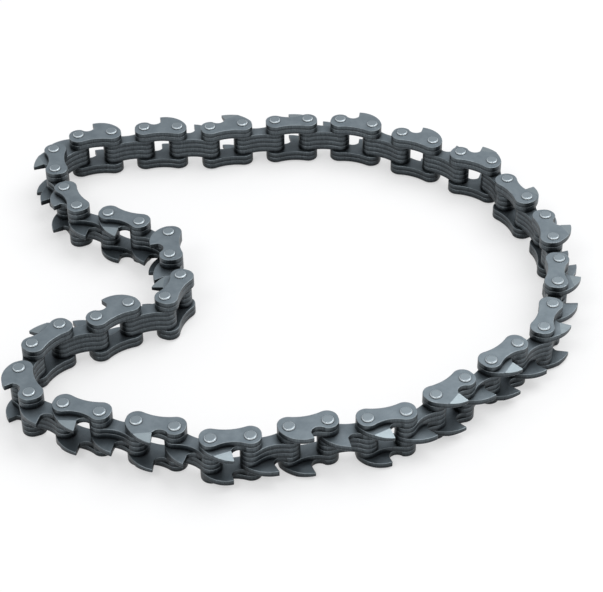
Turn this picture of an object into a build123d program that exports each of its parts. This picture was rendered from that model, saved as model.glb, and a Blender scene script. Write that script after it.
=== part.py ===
from build123d import *
import math
import os

import numpy

# Driving dimensions of the chain, in millimetres.
pitch = 13.7
plate_thickness = 2.2
plates_per_inner_link = 4
plates_per_side = 2

# Plate outline, measured from the line through its two pins.
lobe_radius = 3.9
waist_height = 2.3
inner_back_height = 2.7
outer_back_height = 4.0
foot_drop = 1.2

# Cutting teeth, placed from the leading pin: tip of a tall tooth, foot of its rake face and gullet.
# The tip of a low tooth lies on the same rake face.
tip_ahead = 6.2
tip_height = 8.7
low_tip_height = 7.3
rake_root_ahead = 6.9
rake_root_height = 4.3
gullet_ahead = 5.0
gullet_height = 2.4
crest_height = 5.9
heel_angle = 20.0
grind_depth = 0.8
grind_run = 6.4
grind_rise = 18.0

# Riveted pins.
pin_radius = 1.8
head_radius = 2.2
head_height = 0.7
head_rim = 0.35

# Clearances.
rivet_clearance = 0.03
running_clearance = 0.08
side_play = 0.2

# How the chain lies: the turn at each pin in degrees, towards the inside of the loop, clockwise from above.
first_heading = 9.9
turns = (
    38, -2, 10, 4, -13, 4, 3, 6, 14, 12, -3, 13, -11,
    41, -7, 3, 19, 4, 11, 6, 5, 30, -1, -2, 5, 0,
    25, 10, -10, -5, 13, 31, -13, 7, -1, 6, 44, 35, 27,
    31, -17, 21, -53, -43, 16, -55, -6, -3, 42, 6, 13, 50,
)

# Teeth of the outer links, from link 1 on: which side plate carries one, counted from the outside.
# A minus sign stands for a low tooth, which isn't ground.
upper_teeth = (
    -1, -1, 1, 2, -1, -1, 1, 2, 1, 2, 2, 2, 1,
    2, -1, 2, 1, 2, -1, 2, -1, 2, -1, 2, -2, 2,
)
lower_teeth = (
    -2, -2, 1, 2, -2, -1, 2, 1, 2, 1, 1, 2, 2,
    -1, 1, -2, 2, 2, -1, 2, -1, 1, 2, -1, 2, 1,
)

# Which plate of an inner link carries a tooth, from the bottom plate up. The patterns repeat round the loop.
inner_patterns = (
    (False, True, False, False),
    (False, False, False, True),
    (True, False, False, False),
    (False, False, True, False),
)

# Levels of the stack, from the face that the lower rivet heads stand on.
lower_level = head_height
inner_level = lower_level + plates_per_side * plate_thickness
upper_level = inner_level + plates_per_inner_link * plate_thickness + side_play
top_level = upper_level + plates_per_side * plate_thickness
full_height = top_level + head_height


def walk(bends):
    """Pins of a chain laid out link by link, with the heading of each link in radians."""
    heading = math.radians(first_heading) + bends[0]
    pins = [(0.0, 0.0)]
    headings = []
    for bend in bends:
        heading -= bend
        headings.append(heading)
        x, y = pins[-1]
        pins.append((x + pitch * math.cos(heading), y + pitch * math.sin(heading)))
    return pins, headings


def closed_loop():
    """Pins and headings of the loop, with the smallest change to the turns that brings its ends together."""
    bends = numpy.radians(turns)
    for _ in range(8):
        pins, headings = walk(bends)
        end_x, end_y = pins[-1]
        lever = numpy.array([(1.0, end_y - y, x - end_x) for x, y in pins[:-1]]).T
        lever[1:, 0] = 0.0
        gap = numpy.array([2 * math.pi - bends.sum(), -end_x, -end_y])
        bends = bends + lever.T @ numpy.linalg.solve(lever @ lever.T, gap)
    return pins[:-1], headings


def waist_end(height):
    """Where the hollow of a waist runs smoothly into the lobe round the leading pin."""
    half = pitch / 2
    hollow_radius = (half**2 + height**2 - lobe_radius**2) / (2 * (lobe_radius - height))
    share = lobe_radius / (lobe_radius + hollow_radius)
    return half * share, (height + hollow_radius) * share


def lobe_arc(centre, start, end):
    """Arc of a lobe from one point to another, counter-clockwise."""
    angles = [math.degrees(math.atan2(p[1] - centre[1], p[0] - centre[0])) for p in (start, end)]
    return CenterArc(centre, lobe_radius, angles[0], (angles[1] - angles[0]) % 360)


def tooth_side(tooth_height):
    """Edges of the plate's outer side, from the trailing lobe to the leading lobe, and their first point."""
    lead_x, lead_y = waist_end(waist_height)
    lead = (lead_x, lead_y)
    if not tooth_height:
        start = (pitch - lead_x, lead_y)
        return [ThreePointArc(start, (pitch / 2, waist_height), lead)], start
    lift = math.radians(heel_angle)
    start = (pitch + lobe_radius * math.cos(lift), lobe_radius * math.sin(lift))
    root = (rake_root_ahead, rake_root_height)
    lean = (tip_ahead - rake_root_ahead) / (tip_height - rake_root_height)
    tip = (rake_root_ahead + lean * (tooth_height - rake_root_height), tooth_height)
    back = ThreePointArc(start, (pitch, crest_height), tip)
    rake = Line(tip, root)
    gullet = ThreePointArc(root, (gullet_ahead, gullet_height), lead)
    return [back, rake, gullet], start


def plate_edges(tooth_height, back_height, drop):
    """Closed outline of a plate: leading pin at the origin, trailing pin along X, outer side along Y."""
    outer_side, trail = tooth_side(tooth_height)
    lead_x, lead_y = waist_end(waist_height)
    back_x, back_y = waist_end(back_height - drop)
    lead_back = (back_x, -drop - back_y)
    trail_back = (pitch - back_x, -drop - back_y)
    front = -lobe_radius
    rear = pitch + lobe_radius
    edges = outer_side + [
        lobe_arc((0, 0), (lead_x, lead_y), (front, 0)),
        lobe_arc((0, -drop), (front, -drop), lead_back),
        ThreePointArc(lead_back, (pitch / 2, -back_height), trail_back),
        lobe_arc((pitch, -drop), trail_back, (rear, -drop)),
        lobe_arc((pitch, 0), (rear, 0), trail),
    ]
    if drop > 0:
        edges += [Line((front, 0), (front, -drop)), Line((rear, -drop), (rear, 0))]
    return edges


def plate(tooth_height, back_height, drop, hole_radius):
    """One stamped plate with two pin holes, on the ground plane; a tooth height of 0 leaves it plain."""
    face = make_face(plate_edges(tooth_height, back_height, drop))
    holes = [Pos(x, 0) * Circle(hole_radius) for x in (0, pitch)]
    return extrude(face - holes, amount=plate_thickness)


def ground(toothed_plate):
    """A toothed plate with the outer part of its upper face ground down towards the tip."""
    rise = math.radians(grind_rise)
    along = Vector(math.cos(rise), math.sin(rise), 0)
    across = Vector(-math.sin(rise), math.cos(rise), 0)
    reach = (Vector(tip_ahead, tip_height) - Vector(rake_root_ahead, rake_root_height)).dot(across)
    upward = Vector(0, 0, 1) * reach + across * grind_depth
    slope = Plane((rake_root_ahead, rake_root_height, plate_thickness), x_dir=along, z_dir=upward)
    wheel = Box(grind_run, 2 * tip_height, plate_thickness, align=(Align.MIN, Align.MIN, Align.MIN))
    return toothed_plate - slope * wheel


def rivet():
    """Pin with a low button head at each end, standing on its lower head."""
    disc = extrude(Circle(head_radius), amount=head_height)
    lower_head = chamfer(disc.faces().sort_by(Axis.Z)[0].edges(), head_rim)
    upper_head = Pos(0, 0, full_height) * mirror(lower_head, about=Plane.XY)
    shank = extrude(Circle(pin_radius), amount=full_height - head_rim)
    return lower_head + Pos(0, 0, head_rim / 2) * shank + upper_head


def side_plate(number, tooth, plain, low, tall):
    """The plate at one place of a side, which has a tooth where the tooth's number says so."""
    if number != abs(tooth):
        return plain
    return tall if tooth > 0 else low


def outer_links():
    """The plates and two pins of every outer link."""
    hole = pin_radius + rivet_clearance
    plain, low, tall = [
        plate(height, outer_back_height, foot_drop, hole) for height in (0, low_tip_height, tip_height)
    ]
    ground_above = ground(tall)
    ground_below = Pos(0, 0, plate_thickness) * mirror(ground_above, about=Plane.XY)
    pins = [Pos(x, 0) * rivet() for x in (0, pitch)]
    links = []
    for above, below in zip(upper_teeth, lower_teeth):
        plates = []
        for number in range(1, plates_per_side + 1):
            upper = side_plate(number, above, plain, low, ground_above)
            lower = side_plate(number, below, plain, low, ground_below)
            plates.append(Pos(0, 0, top_level - number * plate_thickness) * upper)
            plates.append(Pos(0, 0, lower_level + (number - 1) * plate_thickness) * lower)
        links.append(plates + pins)
    return links


def inner_links():
    """The plates of an inner link, for each tooth pattern."""
    hole = pin_radius + running_clearance
    kinds = [plate(height, inner_back_height, 0, hole) for height in (0, tip_height)]
    links = []
    for pattern in inner_patterns:
        plates = []
        for number, has_tooth in enumerate(pattern):
            plates.append(Pos(0, 0, inner_level + number * plate_thickness) * kinds[has_tooth])
        links.append(plates)
    return links


def main():
    pins, headings = closed_loop()
    families = (("outer_link", outer_links()), ("inner_link", inner_links()))
    chain = {}
    for number, ((x, y), heading) in enumerate(zip(pins, headings)):
        family, links = families[number % 2]
        order = number // 2
        place = Pos(x, y) * Rot(0, 0, math.degrees(heading))
        chain[f"{family}_{order + 1:02d}"] = [place * solid for solid in links[order % len(links)]]

    middle = Compound([solid for link in chain.values() for solid in link]).bounding_box().center()
    os.makedirs("parts", exist_ok=True)
    for name, link in chain.items():
        solids = [Pos(-middle.X, -middle.Y) * solid for solid in link]
        export_step(Compound(label=name, children=solids), f"parts/{name}.step")


if __name__ == "__main__":
    main()
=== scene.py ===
import math

import bpy
from mathutils import Matrix, Vector

MM = 0.001

# Camera, as solved from the photograph: it looks along +Y and down at the tops of the rivet heads.
AIM = Vector((1.37, -21.51, 19.2)) * MM
ELEVATION = math.radians(39.46)
DISTANCE = 686.2 * MM
ROLL = math.radians(-0.41)
LENS = 110.9
SENSOR = 36.0

# Rivet heads and plates, whose levels tell the plates apart, and the rounding of the stamped edges.
HEAD = 0.7 * MM
PLATE = 2.2 * MM
FULL_HEIGHT = 19.2 * MM
EDGE_ROUNDING = 0.24 * MM
SHARP_ANGLE = math.radians(38)

# Steel tones.
FLAT_STEEL = (0.240, 0.285, 0.315)
MOTTLED_STEEL = (0.188, 0.228, 0.256)
HEAD_STEEL = (0.272, 0.320, 0.350)
# A painted highlight on the rims of the rivet heads, which the lamps' reflections add to.
RIM_HIGHLIGHT = (0.800, 0.880, 0.920)
BURNISHED_STEEL = (0.080, 0.095, 0.105)
FRACTURED_STEEL = (0.042, 0.050, 0.056)
WORN_STEEL = (0.320, 0.370, 0.400)
GROUND_STEEL = (0.275, 0.325, 0.350)

# Where one finish gives way to the next, by how far the surface's normal lies along the pins' axis.
WORN_STEP = (0.18, 0.50)
GROUND_STEP = (0.93, 0.968)
FLAT_STEP = (0.9895, 0.9935)
HEAD_STEP = (0.80, 0.93)

# Painted shade in seams and pockets: its reach, how open a place is where it is fullest and where it ends,
# and its darkest tone.
SEAM_SHADE = (1.2 * MM, 0.30, 0.80, 0.45)
POCKET_SHADE = (12.0 * MM, 0.30, 0.95, 0.32)

# Facets whose corners are this close belong together, and those that lean less than this make one flat.
SEAM_GAP = 0.002 * MM
FLAT_ANGLE = math.radians(0.8)
FLAT_WEIGHT = 60

# How far the normals of the ground facets lie along the pins' axis, and the range about it.
GROUND_LEAN = 0.95
GROUND_RANGE = 0.042

# Studio: a white floor and sky, and lamps with their places, sizes in metres and power in watts.
FLOOR_SIZE = 6.0
FLOOR_TINTS = ((0.96, 0.96, 0.96), (0.98, 0.98, 0.98))
FLOOR_GLOW = 0.5
WHITE = (1.0, 1.0, 1.0)
SKY = (0.97, 0.98, 1.0)
SKY_STRENGTH = 0.65
LAMPS = (
    ("top_softbox", (0.45, 0.30, 1.05), (0.9, 0.9), 6.5),
    ("front_softbox", (-0.45, -0.60, 0.95), (0.4, 0.4), 2.2),
)


def colour(rgb):
    """A tone with full opacity, as colour inputs take it."""
    return (*rgb, 1.0)


def add(tree, kind, **values):
    """A new node with its properties set and its inputs given by name or number."""
    node = tree.nodes.new(kind)
    for name, value in values.items():
        if name == "inputs":
            for socket, setting in value.items():
                node.inputs[socket].default_value = setting
        else:
            setattr(node, name, value)
    return node


def link_steel():
    """Blued steel: satin flats, dark sheared edges, worn corners and pale ground bevels, with painted
    highlights on rivet rims and painted shade in seams and pockets.
    """
    material = bpy.data.materials.new("link_steel")
    material.use_nodes = True
    tree = material.node_tree
    tree.nodes.clear()
    link = tree.links.new
    place = add(tree, "ShaderNodeTexCoord")
    each = add(tree, "ShaderNodeObjectInfo")

    # How far a surface leans from the pins' axis tells flats, bevels, corners and sheared edges apart.
    split = add(tree, "ShaderNodeSeparateXYZ")
    link(place.outputs["Normal"], split.inputs[0])
    lean = add(tree, "ShaderNodeMath", operation="ABSOLUTE")
    link(split.outputs["Z"], lean.inputs[0])

    # Mottled bluing, different on each link.
    shift = add(tree, "ShaderNodeVectorMath", operation="ADD")
    link(place.outputs["Object"], shift.inputs[0])
    link(each.outputs["Random"], shift.inputs[1])
    mottle = add(tree, "ShaderNodeTexNoise", inputs={"Scale": 210.0, "Detail": 5.0, "Roughness": 0.62})
    link(shift.outputs[0], mottle.inputs["Vector"])
    blotch = add(tree, "ShaderNodeMapRange", inputs={1: 0.36, 2: 0.66})
    link(mottle.outputs["Fac"], blotch.inputs[0])
    flats = add(tree, "ShaderNodeMix", data_type="RGBA")
    flats.inputs[6].default_value = colour(MOTTLED_STEEL)
    flats.inputs[7].default_value = colour(FLAT_STEEL)
    link(blotch.outputs[0], flats.inputs[0])

    # A punch leaves a burnished band on the upper part of a sheared edge and a dull break below it.
    level = add(tree, "ShaderNodeSeparateXYZ")
    link(place.outputs["Object"], level.inputs[0])
    plates = add(tree, "ShaderNodeMath", operation="MULTIPLY_ADD", inputs={1: 1 / PLATE, 2: -HEAD / PLATE})
    link(level.outputs["Z"], plates.inputs[0])
    share = add(tree, "ShaderNodeMath", operation="FRACT")
    link(plates.outputs[0], share.inputs[0])
    band = add(tree, "ShaderNodeMapRange", interpolation_type="SMOOTHSTEP", inputs={1: 0.40, 2: 0.65})
    link(share.outputs[0], band.inputs[0])
    cut = add(tree, "ShaderNodeMix", data_type="RGBA")
    cut.inputs[6].default_value = colour(FRACTURED_STEEL)
    cut.inputs[7].default_value = colour(BURNISHED_STEEL)
    link(band.outputs[0], cut.inputs[0])

    # Vertical streaks left by the punch.
    streak_place = add(tree, "ShaderNodeMapping", vector_type="POINT")
    streak_place.inputs["Scale"].default_value = (2400.0, 2400.0, 260.0)
    link(place.outputs["Object"], streak_place.inputs["Vector"])
    streaks = add(tree, "ShaderNodeTexNoise", inputs={"Scale": 1.0, "Detail": 3.0})
    link(streak_place.outputs[0], streaks.inputs["Vector"])
    streak = add(tree, "ShaderNodeMapRange", inputs={1: 0.25, 2: 0.75, 3: 0.65, 4: 1.35})
    link(streaks.outputs["Fac"], streak.inputs[0])
    sheared = add(tree, "ShaderNodeMix", data_type="RGBA", blend_type="MULTIPLY", inputs={0: 1.0})
    link(cut.outputs[2], sheared.inputs[6])
    link(streak.outputs[0], sheared.inputs[7])

    # Corners that rub are paler, in patches.
    rubbed = add(tree, "ShaderNodeMix", data_type="RGBA")
    rubbed.inputs[6].default_value = colour([0.55 * c for c in WORN_STEEL])
    rubbed.inputs[7].default_value = colour(WORN_STEEL)
    link(blotch.outputs[0], rubbed.inputs[0])

    def step(start, end):
        """How far a surface has passed from one finish to the next, by its lean."""
        ramp = add(tree, "ShaderNodeMapRange", interpolation_type="SMOOTHSTEP", inputs={1: start, 2: end})
        link(lean.outputs[0], ramp.inputs[0])
        return ramp.outputs[0]

    def over(below, above, amount):
        """One tone laid over another by an amount; each is a tone or a node's output."""
        mix = add(tree, "ShaderNodeMix", data_type="RGBA")
        for source, socket in ((below, mix.inputs[6]), (above, mix.inputs[7])):
            if isinstance(source, bpy.types.NodeSocket):
                link(source, socket)
            else:
                socket.default_value = colour(source)
        link(amount, mix.inputs[0])
        return mix.outputs[2]

    tone = over(sheared.outputs[2], rubbed.outputs[2], step(*WORN_STEP))
    tone = over(tone, GROUND_STEEL, step(*GROUND_STEP))
    tone = over(tone, flats.outputs[2], step(*FLAT_STEP))

    # Rivet heads stand out above and below the plates. They are paler, and their rims carry a painted
    # highlight, far paler than any steel.
    above = add(tree, "ShaderNodeMath", operation="SUBTRACT", inputs={1: FULL_HEIGHT / 2})
    link(level.outputs["Z"], above.inputs[0])
    reach = add(tree, "ShaderNodeMath", operation="ABSOLUTE")
    link(above.outputs[0], reach.inputs[0])
    head = add(tree, "ShaderNodeMath", operation="GREATER_THAN", inputs={1: FULL_HEIGHT / 2 - 0.95 * HEAD})
    link(reach.outputs[0], head.inputs[0])
    tone = over(tone, over(RIM_HIGHLIGHT, HEAD_STEEL, step(*HEAD_STEP)), head.outputs[0])

    # Painted shade darkens the seams between the plates and the wider pockets, where little open space is
    # around them.
    for width, closed, clear, least in (SEAM_SHADE, POCKET_SHADE):
        pocket = add(tree, "ShaderNodeAmbientOcclusion", samples=8, inputs={"Distance": width})
        shade_ramp = add(tree, "ShaderNodeMapRange", inputs={1: closed, 2: clear, 3: least, 4: 1.0})
        link(pocket.outputs["AO"], shade_ramp.inputs[0])
        shaded_tone = add(tree, "ShaderNodeMix", data_type="RGBA", blend_type="MULTIPLY", inputs={0: 1.0})
        link(tone, shaded_tone.inputs[6])
        link(shade_ramp.outputs[0], shaded_tone.inputs[7])
        tone = shaded_tone.outputs[2]

    # Fine tumbling marks in the gloss and the surface.
    grain = add(tree, "ShaderNodeTexNoise", inputs={"Scale": 2600.0, "Detail": 3.0})
    link(shift.outputs[0], grain.inputs["Vector"])
    gloss = add(tree, "ShaderNodeMapRange", inputs={1: 0.25, 2: 0.75, 3: 0.33, 4: 0.47})
    link(grain.outputs["Fac"], gloss.inputs[0])
    relief = add(tree, "ShaderNodeBump", inputs={"Strength": 0.10, "Distance": 0.05 * MM})
    link(grain.outputs["Fac"], relief.inputs["Height"])

    shader = add(tree, "ShaderNodeBsdfPrincipled", inputs={"Metallic": 0.85})
    link(tone, shader.inputs["Base Color"])
    link(gloss.outputs[0], shader.inputs["Roughness"])
    link(relief.outputs["Normal"], shader.inputs["Normal"])
    out = add(tree, "ShaderNodeOutputMaterial")
    link(shader.outputs[0], out.inputs["Surface"])
    return material


def joined_seams():
    """Node group that joins the facets plate by plate and picks the edges to round."""
    group = bpy.data.node_groups.new("joined_seams", "GeometryNodeTree")
    group.interface.new_socket("Geometry", in_out="INPUT", socket_type="NodeSocketGeometry")
    group.interface.new_socket("Geometry", in_out="OUTPUT", socket_type="NodeSocketGeometry")
    link = group.links.new
    start = add(group, "NodeGroupInput")
    end = add(group, "NodeGroupOutput")

    # The level of a facet, taken a little way into its plate, tells odd and even plates apart.
    heights = []
    for kind, field in (("Position", "Position"), ("Normal", "True Normal")):
        source = add(group, "GeometryNodeInput" + kind)
        split = add(group, "ShaderNodeSeparateXYZ")
        link(source.outputs[field], split.inputs[0])
        heights.append(split.outputs["Z"])
    inward = add(group, "ShaderNodeMath", operation="MULTIPLY_ADD", inputs={1: -0.1 * PLATE, 2: -HEAD})
    link(heights[1], inward.inputs[0])
    level = add(group, "ShaderNodeMath", operation="ADD")
    link(heights[0], level.inputs[0])
    link(inward.outputs[0], level.inputs[1])
    pair = add(group, "ShaderNodeMath", operation="FLOORED_MODULO", inputs={1: 2 * PLATE})
    link(level.outputs[0], pair.inputs[0])
    odd = add(group, "ShaderNodeMath", operation="GREATER_THAN", inputs={1: PLATE})
    link(pair.outputs[0], odd.inputs[0])

    apart = add(group, "GeometryNodeSeparateGeometry", domain="FACE")
    link(start.outputs[0], apart.inputs["Geometry"])
    link(odd.outputs[0], apart.inputs["Selection"])
    together = add(group, "GeometryNodeJoinGeometry")
    for plates in apart.outputs:
        merged = add(group, "GeometryNodeMergeByDistance", inputs={"Distance": SEAM_GAP})
        link(plates, merged.inputs["Geometry"])
        link(merged.outputs[0], together.inputs[0])

    # Stamped edges are rounded. The edges of the ground facets, which lean a little, stay crisp.
    lean = add(group, "ShaderNodeMath", operation="ABSOLUTE")
    link(heights[1], lean.inputs[0])
    ground = add(group, "ShaderNodeMath", operation="COMPARE", inputs={1: GROUND_LEAN, 2: GROUND_RANGE})
    link(lean.outputs[0], ground.inputs[0])
    facet = add(group, "GeometryNodeFieldOnDomain", domain="FACE", data_type="FLOAT")
    link(ground.outputs[0], facet.inputs[0])
    crisp = add(group, "ShaderNodeMath", operation="GREATER_THAN", inputs={1: 0.1})
    link(facet.outputs[0], crisp.inputs[0])
    shaded = add(group, "GeometryNodeSetShadeSmooth", domain="EDGE", inputs={"Shade Smooth": False})
    link(together.outputs[0], shaded.inputs["Geometry"])
    link(crisp.outputs[0], shaded.inputs["Selection"])
    corner = add(group, "GeometryNodeInputMeshEdgeAngle")
    sharp = add(group, "ShaderNodeMath", operation="GREATER_THAN", inputs={1: SHARP_ANGLE})
    link(corner.outputs[0], sharp.inputs[0])
    rounded = add(group, "ShaderNodeMath", operation="SUBTRACT", use_clamp=True)
    link(sharp.outputs[0], rounded.inputs[0])
    link(crisp.outputs[0], rounded.inputs[1])
    marked = add(group, "GeometryNodeStoreNamedAttribute", domain="EDGE", data_type="FLOAT",
                 inputs={"Name": "bevel_weight_edge"})
    link(shaded.outputs[0], marked.inputs["Geometry"])
    link(rounded.outputs[0], marked.inputs["Value"])
    link(marked.outputs[0], end.inputs[0])
    return group


def dress(node, material, seams):
    """Give a link its steel and round its stamped edges."""
    node.data.materials.clear()
    node.data.materials.append(material)
    node.data.polygons.foreach_set("use_smooth", [True] * len(node.data.polygons))
    node.modifiers.new("seams", "NODES").node_group = seams
    flats = node.modifiers.new("flats", "DECIMATE")
    flats.decimate_type = "DISSOLVE"
    flats.angle_limit = FLAT_ANGLE
    rounding = node.modifiers.new("rounding", "BEVEL")
    rounding.width = EDGE_ROUNDING
    rounding.segments = 2
    rounding.limit_method = "WEIGHT"
    rounding.use_clamp_overlap = False
    shading = node.modifiers.new("shading", "WEIGHTED_NORMAL")
    shading.weight = FLAT_WEIGHT
    shading.keep_sharp = True


def pale_floor():
    """The floor that the chain lies on."""
    bpy.ops.mesh.primitive_plane_add(size=FLOOR_SIZE)
    floor = bpy.context.object
    floor.name = "floor"
    material = bpy.data.materials.new("pale_floor")
    material.use_nodes = True
    tree = material.node_tree
    shader = tree.nodes["Principled BSDF"]
    shader.inputs["Roughness"].default_value = 0.9
    shader.inputs["Specular IOR Level"].default_value = 0.1
    place = add(tree, "ShaderNodeTexCoord")
    cloud = add(tree, "ShaderNodeTexNoise", inputs={"Scale": 3.0, "Detail": 2.0})
    tree.links.new(place.outputs["Object"], cloud.inputs["Vector"])
    tint = add(tree, "ShaderNodeMix", data_type="RGBA")
    for socket, tone in zip((6, 7), FLOOR_TINTS):
        tint.inputs[socket].default_value = colour(tone)
    tree.links.new(cloud.outputs["Fac"], tint.inputs[0])
    tree.links.new(tint.outputs[2], shader.inputs["Base Color"])

    # Seen directly or in the steel, the floor is nearly white and keeps a light shadow.
    rays = add(tree, "ShaderNodeLightPath")
    seen = add(tree, "ShaderNodeMath", operation="MAXIMUM")
    tree.links.new(rays.outputs["Is Camera Ray"], seen.inputs[0])
    tree.links.new(rays.outputs["Is Glossy Ray"], seen.inputs[1])
    share = add(tree, "ShaderNodeMath", operation="MULTIPLY", inputs={1: FLOOR_GLOW})
    tree.links.new(seen.outputs[0], share.inputs[0])
    white = add(tree, "ShaderNodeEmission", inputs={"Color": colour(WHITE), "Strength": 1.0})
    mixed = add(tree, "ShaderNodeMixShader")
    tree.links.new(share.outputs[0], mixed.inputs[0])
    tree.links.new(shader.outputs[0], mixed.inputs[1])
    tree.links.new(white.outputs[0], mixed.inputs[2])
    tree.links.new(mixed.outputs[0], tree.nodes["Material Output"].inputs["Surface"])
    floor.data.materials.append(material)


def softbox(name, place, size, power):
    """An area lamp that faces the chain."""
    data = bpy.data.lights.new(name, "AREA")
    data.shape = "RECTANGLE"
    data.size, data.size_y = size
    data.energy = power
    lamp = bpy.data.objects.new(name, data)
    bpy.context.scene.collection.objects.link(lamp)
    lamp.location = place
    lamp.rotation_euler = (-Vector(place)).to_track_quat("-Z", "Y").to_euler()


def studio():
    """A pale sky and two lamps."""
    world = bpy.data.worlds.new("studio")
    bpy.context.scene.world = world
    world.use_nodes = True
    back = world.node_tree.nodes["Background"]
    back.inputs["Color"].default_value = colour(SKY)
    back.inputs["Strength"].default_value = SKY_STRENGTH
    for name, place, size, power in LAMPS:
        softbox(name, place, size, power)


def camera():
    """The photograph's camera."""
    data = bpy.data.cameras.new("camera")
    data.sensor_width = SENSOR
    data.lens = LENS
    eye = bpy.data.objects.new("camera", data)
    bpy.context.scene.collection.objects.link(eye)
    tilt = Matrix.Rotation(math.pi / 2 - ELEVATION, 4, "X") @ Matrix.Rotation(ROLL, 4, "Z")
    away = Vector((0.0, -math.cos(ELEVATION), math.sin(ELEVATION)))
    eye.matrix_world = Matrix.Translation(AIM + DISTANCE * away) @ tilt
    bpy.context.scene.camera = eye


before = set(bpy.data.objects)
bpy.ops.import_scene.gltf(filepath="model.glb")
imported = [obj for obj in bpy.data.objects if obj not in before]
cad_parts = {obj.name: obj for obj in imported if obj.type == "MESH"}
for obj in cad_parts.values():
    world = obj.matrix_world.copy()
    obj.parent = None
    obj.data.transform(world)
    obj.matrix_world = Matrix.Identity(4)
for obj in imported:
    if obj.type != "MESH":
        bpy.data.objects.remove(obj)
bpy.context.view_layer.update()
steel = link_steel()
seams = joined_seams()
for link_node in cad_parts.values():
    dress(link_node, steel, seams)
pale_floor()
studio()
camera()
bpy.context.scene.view_settings.view_transform = "Standard"
